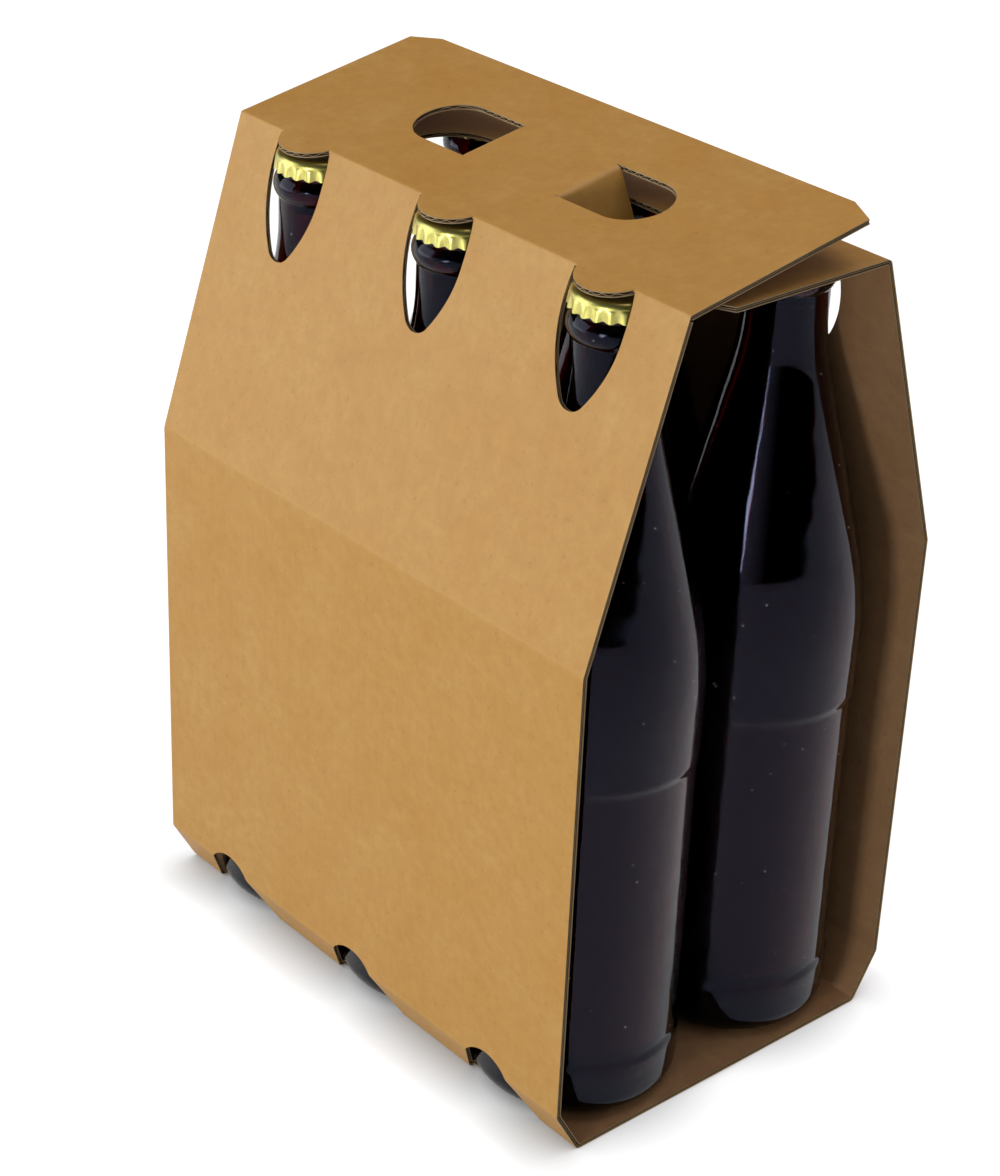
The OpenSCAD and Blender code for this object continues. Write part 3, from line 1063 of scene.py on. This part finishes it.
    def tongues(self, layer: Layer, line: BoardLine, inset: float) -> list[Surface]:
        """Tongues past a fold, as discs cut off behind it.

        Args:
            layer: Layer to build.
            line: Flat line of the panel that they stand on.
            inset: How far behind the fold they are cut off.

        Returns:
            A closed sheet for each bottle along the rows.
        """
        v, half = self.windows.tongue(inset, self.board.samples(layer, self.tongue_points))
        columns = int(np.ceil(2 * half.max() / self.board.step(layer)))
        made = []
        for centre in self.rows_x:
            x = centre + half[:, None] * np.linspace(-1, 1, columns + 1)
            s = np.broadcast_to(v[:, None], x.shape)
            made.append(paper_sheet(
                lambda lift, x=x, s=s: np.stack([x, *line.at(s, lift)], axis=-1),
                self.board.top(layer, x), self.board.depth(layer), quads_of(*x.shape)))
        return made

    def lid_line(self) -> NosedLine:
        """Line of the top flap from its rounded fold to its rear edge."""
        slant = math.atan2(self.fold_z - self.shoulder_z, self.wall_y - self.fold_y)
        return NosedLine((-self.fold_y, self.fold_z), self.lid_tilt, slant - self.lid_tilt + self.nose_over)

    def lid_layer(self, layer: Layer) -> dict[str, Surface]:
        """One layer of the top flap with its tongues and finger tabs.

        Args:
            layer: Layer to build.

        Returns:
            The surface by piece name.
        """
        line = self.lid_line()
        start = NOSE_START if layer is Layer.OUTER else 0.0
        end = self.lid_len + self.chamfer_y
        fold = TabLine(self.holes.x, self.tab_angle)
        bare = np.array([NOSE_START, 0.0, self.lid_run_in, end])
        tongue_half = np.repeat([self.windows.tongue_half, self.shut_half], 2)
        fronts = [Opening(bare, x - tongue_half, x + tongue_half, [(NOSE_START, 0.0)]) for x in self.rows_x]
        count = self.board.samples(layer, self.hole_points)
        left, right = (self.holes.opening(self.hole_y, 0.0, side, fold.reach, count) for side in (-1, 1))
        openings = [fronts[0], left, fronts[1], right, fronts[2]]
        ends = (np.array([NOSE_START, self.lid_len, end]),
                np.array([0.0, 0.0, -self.chamfer_x]) + self.length / 2)
        nose = np.linspace(start, 0.0, self.nose_rows)
        rows = merged_rows(nose, np.array(BESIDE_FOLD), ends[0], left.s, bare, low=start, high=end)
        main = sheet_surface(line, rows, ends, openings, self.board, layer)
        flat = FlatLine((-self.fold_y, self.fold_z), self.lid_tilt, up=1)
        tabs = [self.tab(layer, fold, side) for side in (-1, 1)]
        upper = main.joined(*self.tongues(layer, flat, 0.0)).flipped()
        return {f"flap_{layer.value}": upper.joined(*tabs)}

    def tab(self, layer: Layer, fold: TabLine, side: int) -> Surface:
        """One layer of a finger tab, bent down about the hole's straight side.

        The grid's rows run along the tab, and its columns across it between the sides, which close in a half circle.

        Args:
            layer: Layer to build.
            fold: Line of the tab from the flap down to its end.
            side: 1 for the right tab, -1 for the left one.

        Returns:
            The layer as a closed sheet.
        """
        r = self.holes.width / 2 - self.tab_gap
        straight = self.holes.length - self.holes.width / 2
        flat = np.arange(-fold.reach, straight, min(self.board.step(layer), self.tab_row))
        bend = np.linspace(-fold.reach, fold.reach, self.nose_rows)
        end = straight + r * np.sin(np.linspace(0, math.pi / 2, self.tab_points))
        s = merged_rows(flat, bend, end, low=-fold.reach, high=straight + r)
        half = np.sqrt(np.maximum(r ** 2 - np.maximum(s - straight, 0.0) ** 2, 0.0))
        across = half[:, None] * np.linspace(-1, 1, self.tab_columns)
        along = np.broadcast_to(s[:, None], across.shape)
        v = self.hole_y + across

        def place(lift: Array) -> Array:
            """Points of the tab, tilted with the flap."""
            x, w = fold.at(along, lift)
            y = -self.fold_y + v * math.cos(self.lid_tilt) - w * math.sin(self.lid_tilt)
            z = self.fold_z + v * math.sin(self.lid_tilt) + w * math.cos(self.lid_tilt)
            return np.stack([side * x, y, z], axis=-1)

        made = paper_sheet(place, self.board.top(layer, along + self.holes.x), self.board.depth(layer),
                           quads_of(*across.shape), fold.crease(along))
        return made if side > 0 else made.flipped()

    def build(self, papers: dict[Layer, bpy.types.Material], cut: bpy.types.Material) -> None:
        """Makes every layer of the sleeve and the flap, each with a pale cut edge.

        Args:
            papers: Material of each layer.
            cut: Material of the cut edges.
        """
        for layer in Layer:
            for body, node, surfaces in (
                (BASE_BODY, "sleeve", self.sleeve_layer(layer)),
                (LID_BODY, "top_flap", self.lid_layer(layer)),
            ):
                for name, surface in surfaces.items():
                    piece = surface.to_object(name, [papers[layer], cut], BOARD_SHARP_DEG)
                    attach(piece, body, "kraft_board", *([node] if layer is Layer.OUTER else []))


# Bottles


def arc(centre: tuple[float, float], r: float, start: float, end: float, count: int) -> Array:
    """Points of an arc: the centre plus r times the cosine and sine of evenly spaced angles.

    Args:
        centre: Radius and height of the centre.
        r: Radius of the arc.
        start: First angle in degrees.
        end: Last angle in degrees.
        count: Number of points.

    Returns:
        The points, as (count, 2).
    """
    a = np.radians(np.linspace(start, end, count))
    return np.array(centre) + r * np.stack([np.cos(a), np.sin(a)], axis=-1)


def lathe(profile: Array, centre: tuple[float, float], base: float, segments: int) -> Surface:
    """Turns a closed profile of radius and height about a vertical axis.

    Point (i, k) is the profile's point i at the angle tau times k over the segments. The profile runs up the
    outside and back down the inside, so faces point out of the wall.

    Args:
        profile: Radii and heights, as (n, 2).
        centre: X and Y of the axis.
        base: Height of the profile's zero.
        segments: Steps round the axis.

    Returns:
        The turned surface.
    """
    a = np.linspace(0, math.tau, segments + 1)
    r, z = profile[:, 0][:, None], profile[:, 1][:, None]
    x = centre[0] + r * np.cos(a)
    y = centre[1] + r * np.sin(a)
    points = np.stack([x, y, np.broadcast_to(z + base, x.shape)], axis=-1).reshape(-1, 3)
    return Surface(points, quads_of(*x.shape)[:, ::-1])


@dataclass
class Bottle:
    """A half-litre long-neck bottle with its beer, from the base up."""

    # Body and base
    diameter: float = 66.0
    height: float = 264.8
    glass: float = 2.5
    base: float = 4.5
    heel_r: float = 8.0
    punt: float = 5.0
    foot_step: float = 1.0
    # Label panel: a shallow recess, from a height up to a gap below the shoulder
    label_depth: float = 0.7
    label_z0: float = 22.0
    label_gap: float = 22.2
    label_step: float = 4.0
    # Shoulder and neck: a round, a cone and a blend into the neck
    neck_len: float = 21.4
    shoulder_r: float = 120.0
    cone_deg: float = 14.0
    neck_d: float = 26.0
    bore_d: float = 18.0
    blend_r: float = 75.0
    # Beer: how far it stands below the lip, clear of the glass, and how high and steeply it climbs the bore
    ullage: float = 17.0
    fill_gap: float = 0.1
    meniscus: float = 1.2
    meniscus_power: int = 6
    # Finish: ring under the cap, lip, mouth and bead, with distances down from the lip
    ring_d: float = 26.6
    ring_s: float = 4.4
    lip_r: float = 1.6
    bead_s: float = 5.8
    bead_h: float = 8.0
    bead_out: float = 1.6
    ring_slope: float = 0.6
    mouth_r: float = 1.0
    # Steps round the axis, and points on each curve of the profile: outside, inside and on the beer
    segments: int = 128
    push_up_points: int = 12
    heel_points: int = 16
    step_points: int = 9
    shoulder_points: int = 28
    blend_points: int = 20
    bead_points: int = 20
    lip_points: int = 8
    mouth_points: int = 6
    floor_points: int = 10
    inner_heel_points: int = 12
    inner_shoulder_points: int = 24
    inner_blend_points: int = 16
    surface_points: int = 12

    def __post_init__(self) -> None:
        """Works out radii and heights down from the lip."""
        cone = math.radians(self.cone_deg)
        self.r, self.neck_r, self.bore_r = self.diameter / 2, self.neck_d / 2, self.bore_d / 2
        self.label_r = self.r - self.label_depth
        self.cavity_r = self.label_r - self.glass
        self.neck_z = self.height - self.neck_len
        both = self.shoulder_r + self.blend_r
        drop = self.r - self.neck_r - both * (1 - math.cos(cone))
        self.round_z = self.neck_z - drop / math.tan(cone) - both * math.sin(cone)
        self.label_z1 = self.round_z - self.label_gap
        self.fill_z = self.height - self.ullage

    def outside(self) -> Array:
        """Outer profile: push-up, heel, label panel with eased steps, shoulder, neck, bead, ring and lip.

        Returns:
            Radii and heights from the middle of the base to the lip.
        """
        step = np.linspace(0, 1, self.step_points)[:, None]
        ease = step ** 2 * (3 - 2 * step)
        low = np.hstack([self.r - self.label_depth * ease, self.label_z0 - self.label_step * (1 - step)])
        high = np.hstack([self.label_r + self.label_depth * ease, self.label_z1 + self.label_step * step])
        bead_r = ((self.bead_h / 2) ** 2 + self.bead_out ** 2) / (2 * self.bead_out)
        bead_a = math.degrees(math.asin(self.bead_h / 2 / bead_r))
        bead_z = self.height - self.bead_s - self.bead_h / 2
        rise = np.linspace(0, 1, self.push_up_points)[:, None]
        foot = self.r - self.heel_r - self.foot_step
        push_up = np.hstack([foot * rise, self.punt * (1 - rise ** 2)])
        ring_r, ring_z = self.ring_d / 2, self.height - self.ring_s
        return np.concatenate([
            push_up,
            arc((self.r - self.heel_r, self.heel_r), self.heel_r, -90, 0, self.heel_points),
            low,
            high,
            arc((self.r - self.shoulder_r, self.round_z), self.shoulder_r, 0, self.cone_deg,
                self.shoulder_points),
            arc((self.neck_r + self.blend_r, self.neck_z), self.blend_r, 180 + self.cone_deg, 180,
                self.blend_points),
            arc((self.neck_r + self.bead_out - bead_r, bead_z), bead_r, -bead_a, bead_a, self.bead_points),
            [[ring_r, ring_z - self.ring_slope], [ring_r, ring_z]],
            arc((ring_r - self.lip_r, self.height - self.lip_r), self.lip_r, 0, 90, self.lip_points),
        ])

    def cavity(self, gap: float) -> Array:
        """Inner profile: a floor that follows the push-up, a round heel, and the shoulder's and neck's arcs.

        Args:
            gap: How far the profile is moved in.

        Returns:
            Radii and heights from the middle of the base to the neck.
        """
        wall = self.label_depth + self.glass + gap
        rise = np.linspace(0, 1, self.floor_points)[:, None]
        foot = self.cavity_r - self.heel_r
        floor = np.hstack([foot * rise, self.base + gap + self.punt * (1 - rise ** 2)])
        return np.concatenate([
            floor[:-1],
            arc((foot, self.base + self.heel_r), self.heel_r - gap, -90, 0, self.inner_heel_points),
            arc((self.r - self.shoulder_r, self.round_z), self.shoulder_r - wall, 0, self.cone_deg,
                self.inner_shoulder_points),
            arc((self.neck_r + self.blend_r, self.neck_z), self.blend_r + self.neck_r - self.bore_r + gap,
                180 + self.cone_deg, 180, self.inner_blend_points),
        ])

    def wall(self) -> Array:
        """Closed profile of the glass: outside up to the lip, then down the bore and the cavity."""
        mouth = arc((self.bore_r + self.mouth_r, self.height - self.mouth_r), self.mouth_r, 90, 180,
                    self.mouth_points)
        return np.concatenate([self.outside(), mouth, self.cavity(0.0)[::-1]])

    def liquid(self) -> Array:
        """Closed profile of the beer, with a meniscus that climbs the bore as a power of the radius.

        Returns:
            Radii and heights from the middle of the base to the middle of the surface.
        """
        bore = self.bore_r - self.fill_gap
        share = np.linspace(1, 0, self.surface_points)[:, None]
        surface = np.hstack([bore * share, self.fill_z - self.meniscus * (1 - share ** self.meniscus_power)])
        return np.concatenate([self.cavity(self.fill_gap), surface])

    def build(self, name: str, centre: tuple[float, float], floor: float, glass: bpy.types.Material,
              beer: bpy.types.Material) -> None:
        """Makes one bottle and its beer.

        Args:
            name: Place of the bottle, as in the solids' names.
            centre: X and Y of its axis.
            floor: Height of the board under it.
            glass: Material of the bottle.
            beer: Material of the beer.
        """
        shell = lathe(self.wall(), centre, floor, self.segments)
        bottle = shell.to_object(f"glass_{name}", [glass], TURNED_SHARP_DEG)
        attach(bottle, BASE_BODY, "amber_glass", f"bottle_{name}")
        contents = lathe(self.liquid(), centre, floor, self.segments)
        fill = contents.to_object(f"fill_{name}", [beer], TURNED_SHARP_DEG)
        attach(fill, BASE_BODY, "beer", f"beer_{name}")


@dataclass
class CrownCap:
    """A crown cap: a pressed disc with a rolled edge and a fluted skirt."""

    height: float = 6.0
    sheet: float = 0.35
    liner: float = 0.6
    edge_r: float = 2.2
    inner_r: float = 13.45
    over_teeth: float = 14.5
    teeth: int = 21
    scallop: float = 0.5
    # Powers: how round the teeth are, and how the skirt opens and its foot rises on the way down
    tooth_power: float = 0.8
    skirt_power: float = 0.6
    foot_power: float = 3.0
    # Steps round each tooth, and points on the skirt, the rolled edge and the disc
    steps_per_tooth: int = 16
    skirt_points: int = 16
    roll_points: int = 10
    disc_points: int = 14

    def build(self, name: str, centre: tuple[float, float], lip: float, lacquer: bpy.types.Material) -> None:
        """Makes one cap.

        The shell is a lathe profile whose skirt swings out by a wave round the axis: radius plus teeth depth times
        the share of the skirt below the edge times a rounded cosine, and its foot is scalloped by the same wave.

        Args:
            name: Place of the cap, as in the solids' names.
            centre: X and Y of its axis.
            lip: Height of the bottle's lip.
            lacquer: Material of the cap.
        """
        top = self.liner + self.sheet
        foot, edge_z = top - self.height, top - self.edge_r
        out_r = self.inner_r + self.sheet
        skirt = np.linspace(foot, edge_z, self.skirt_points)[:, None]
        dish = np.linspace(1, 0, self.disc_points)[:, None]
        flat_r = out_r - self.edge_r

        def shell(r: float, edge: float, crown: float) -> Array:
            """Profile of one side of the sheet.

            Args:
                r: Radius of the skirt.
                edge: Radius of the rolled edge.
                crown: Height of the top.

            Returns:
                Radii and heights from the foot up over the edge to the middle of the top.
            """
            side = np.hstack([np.full_like(skirt, r), skirt])
            roll = arc((flat_r, edge_z), edge, 0, 90, self.roll_points)[1:]
            disc = np.hstack([flat_r * dish, np.full_like(dish, crown)])[1:]
            return np.concatenate([side, roll, disc])

        outside = shell(out_r, self.edge_r, top)
        inside = shell(self.inner_r, self.edge_r - self.sheet, self.liner)
        profile = np.concatenate([outside, inside[::-1], outside[:1]])
        a = np.linspace(0, math.tau, self.teeth * self.steps_per_tooth + 1)
        wave = ((1 + np.cos(self.teeth * a)) / 2) ** self.tooth_power
        r, z = profile[:, 0][:, None], profile[:, 1][:, None]
        low = np.clip((edge_z - z) / (edge_z - foot), 0, 1)
        radius = r + (self.over_teeth - out_r) * low ** self.skirt_power * wave
        rise = z + self.scallop * low ** self.foot_power * (1 - wave)
        points = np.stack([centre[0] + radius * np.cos(a), centre[1] + radius * np.sin(a), lip + rise], axis=-1)
        shape = Surface(points.reshape(-1, 3), quads_of(len(profile), len(a))[:, ::-1])
        crown = shape.to_object(f"crown_{name}", [lacquer], TURNED_SHARP_DEG)
        attach(crown, BASE_BODY, "crown_cap", f"cap_{name}")


@dataclass
class BottleRows:
    """Two rows of three bottles with beer and caps, standing on the base panel."""

    bottle: Bottle
    cap: CrownCap
    pitch: float = BOTTLE_PITCH
    per_row: int = 3
    floor: float = 1.6

    def build(self) -> None:
        """Makes every bottle, beer and cap, and finishes the sealing liners that stay as solids."""
        glass, beer = AmberGlass().material(), Beer().material()
        lacquer, polymer = GoldLacquer().material(), SoftPolymer().material()
        for row in Row:
            for i in range(self.per_row):
                name = f"{row.name.lower()}_{i + 1}"
                centre = ((i - (self.per_row - 1) / 2) * self.pitch, row.value * self.pitch / 2)
                self.bottle.build(name, centre, self.floor, glass, beer)
                self.cap.build(name, centre, self.floor + self.bottle.height, lacquer)
                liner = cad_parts[f"liner_{name}"]
                liner.data.materials.clear()
                liner.data.materials.append(polymer)
                LOG.info("%s: kept as a solid", liner.name)


# Stage


@dataclass(frozen=True)
class Lamp:
    """A square soft lamp: its place and side in metres, its power and its tint."""

    name: str
    place: tuple[float, float, float]
    side: float
    watts: float
    tint: str = "#FFFFFF"

    def build(self, aim_z: float) -> None:
        """Hangs the lamp, facing a point above the middle of the base.

        Args:
            aim_z: Height of that point in metres.
        """
        data = bpy.data.lights.new(self.name, "AREA")
        data.size, data.energy, data.color = self.side, self.watts, linear(self.tint)[:3]
        lamp = bpy.data.objects.new(self.name, data)
        lamp.location = self.place
        aim = lamp.location * -1.0
        aim.z += aim_z
        lamp.rotation_euler = aim.to_track_quat("-Z", "Y").to_euler()
        bpy.context.scene.collection.objects.link(lamp)


@dataclass
class Studio:
    """White table and background under a dark ceiling, with soft lamps at the front left, in front and above."""

    # The table: light that it gives back and shows, its own white seen straight and in mirrors, and its shadow
    floor_half: float = 4.0
    floor_drop_mm: float = 0.05
    floor_bounce: float = 0.42
    floor_tone: float = 0.3
    floor_glow: float = 0.92
    mirror_glow: float = 0.66
    shadow_reach_mm: float = 18.0
    shadow_samples: int = 16
    # The surround: least and most light, from this side, and what shiny and clear surfaces see of it
    sky: tuple[float, float] = (0.05, 0.56)
    sky_side: tuple[float, float, float] = (-0.75, -0.45, 0.48)
    open_side: tuple[float, float] = (-0.25, 0.15)
    ceiling: float = 0.05
    horizon: tuple[float, float] = (0.02, 0.14)
    # The photograph's camera, and the height that the lamps face
    lens_mm: float = 84.036
    sensor_mm: float = 36.0
    clip: tuple[float, float] = (0.02, 50.0)
    camera_mm: tuple[float, float, float] = (576.32, -525.20, 551.16)
    camera_deg: tuple[float, float, float] = (61.694, -2.151, 49.519)
    aim_z: float = 0.14
    lamps: tuple[Lamp, ...] = (
        Lamp("key lamp", (-0.93, -1.10, 0.55), 1.2, 9.3),
        Lamp("front lamp", (0.50, -1.50, 0.30), 0.30, 5.2),
        Lamp("top lamp", (0.15, 0.45, 1.50), 0.9, 4.3, "#FFF0F6"),
    )

    def mirrored(self, tree: bpy.types.NodeTree, ray: bpy.types.Node) -> bpy.types.NodeSocket:
        """One for rays that come by way of a mirror or through glass."""
        return add(tree, "ShaderNodeMath", {0: ray.outputs["Is Glossy Ray"], 1: ray.outputs["Is Transmission Ray"]},
                   operation="MAXIMUM").outputs[0]

    def build_floor(self) -> None:
        """Lays the white table; it glows only for rays that show the background, and takes the shadow.

        The glow fades with the share of open sky within the shadow's reach, which darkens it close to the carrier.
        """
        half = self.floor_half / MM
        grid = np.array([[-half, -half], [half, -half], [-half, half], [half, half]])
        points = np.column_stack([grid, np.full(len(grid), -self.floor_drop_mm)])
        material, tree, out = new_material("white studio paper")
        ray = add(tree, "ShaderNodeLightPath")
        camera = ray.outputs["Is Camera Ray"]
        grey = add(tree, "ShaderNodeMapRange", {"Value": camera, "To Min": self.floor_bounce,
                                                "To Max": self.floor_tone})
        tone = add(tree, "ShaderNodeBsdfDiffuse", {"Color": grey.outputs[0]})
        shine = add(tree, "ShaderNodeMath", {0: self.mirrored(tree, ray), 1: self.mirror_glow},
                    operation="MULTIPLY")
        white = add(tree, "ShaderNodeMapRange", {"Value": camera, "To Min": shine.outputs[0],
                                                 "To Max": self.floor_glow})
        free = add(tree, "ShaderNodeAmbientOcclusion", {"Distance": self.shadow_reach_mm * MM},
                   samples=self.shadow_samples)
        shaded = add(tree, "ShaderNodeMath", {0: white.outputs[0], 1: free.outputs["AO"]}, operation="MULTIPLY")
        glow = add(tree, "ShaderNodeEmission", {"Strength": shaded.outputs[0]})
        both = add(tree, "ShaderNodeAddShader", {0: tone.outputs[0], 1: glow.outputs[0]})
        tree.links.new(both.outputs[0], out.inputs["Surface"])
        table = Surface(points, np.array([[0, 1, 3, 2]])).to_object("table", [material], BOARD_SHARP_DEG)

    def build_sky(self) -> None:
        """Surrounds the scene with soft grey light and a white background under a dark ceiling.

        The camera sees white all round; shiny and clear surfaces see white up to the horizon and the ceiling above.
        """
        world = bpy.data.worlds.new("white surround")
        bpy.context.scene.world = world
        world.use_nodes = True
        tree = world.node_tree
        tree.nodes.clear()
        ray = add(tree, "ShaderNodeLightPath")
        direction = add(tree, "ShaderNodeTexCoord").outputs["Generated"]
        height = add(tree, "ShaderNodeSeparateXYZ", {0: direction}).outputs["Z"]
        low, high = self.horizon
        room = add(tree, "ShaderNodeMapRange", {"Value": height, "From Min": low, "From Max": high, "To Min": 1.0,
                                                "To Max": self.ceiling})
        side = add(tree, "ShaderNodeVectorMath", {0: direction, 1: self.sky_side},
                   operation="DOT_PRODUCT").outputs["Value"]
        least, most = self.sky
        glow = add(tree, "ShaderNodeMapRange", {"Value": side, "From Min": -1.0, "To Min": least, "To Max": most})
        soft = add(tree, "ShaderNodeMapRange", {"Value": ray.outputs["Is Camera Ray"], "To Min": glow.outputs[0]})
        dark, bright = self.open_side
        shown = add(tree, "ShaderNodeMapRange", {"Value": side, "From Min": dark, "From Max": bright,
                                                 "To Max": room.outputs[0]})
        level = add(tree, "ShaderNodeMix", {"Factor": self.mirrored(tree, ray), "A": soft.outputs[0],
                                            "B": shown.outputs[0]})
        light = add(tree, "ShaderNodeBackground", {"Color": WHITE, "Strength": level.outputs[0]})
        out = tree.nodes.new("ShaderNodeOutputWorld")
        tree.links.new(light.outputs[0], out.inputs["Surface"])

    def build_camera(self) -> None:
        """Sets up the camera at the photograph's angle."""
        data = bpy.data.cameras.new("camera")
        data.lens, data.sensor_width = self.lens_mm, self.sensor_mm
        data.clip_start, data.clip_end = self.clip
        camera = bpy.data.objects.new("camera", data)
        camera.location = [c * MM for c in self.camera_mm]
        camera.rotation_euler = [math.radians(a) for a in self.camera_deg]
        bpy.context.scene.collection.objects.link(camera)
        bpy.context.scene.camera = camera

    def build(self) -> None:
        """Makes camera, table, surround and lamps."""
        bpy.context.scene.view_settings.view_transform = "Standard"
        self.build_camera()
        self.build_floor()
        self.build_sky()
        for lamp in self.lamps:
            lamp.build(self.aim_z)


def main() -> None:
    """Builds the carton, the bottles and the studio in order."""
    logging.basicConfig(level=logging.INFO, format="%(name)s: %(message)s")
    papers = {
        Layer.OUTER: OUTER_KRAFT.material(),
        Layer.FLUTES: SHADED_FLUTE_KRAFT.material(),
        Layer.INNER: INNER_KRAFT.material(),
    }
    Carton(Board(), Windows(), Holes()).build(papers, CUT_KRAFT.material())
    BottleRows(Bottle(), CrownCap()).build()
    Studio().build()
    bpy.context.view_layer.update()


if __name__ == "__main__":
    main()
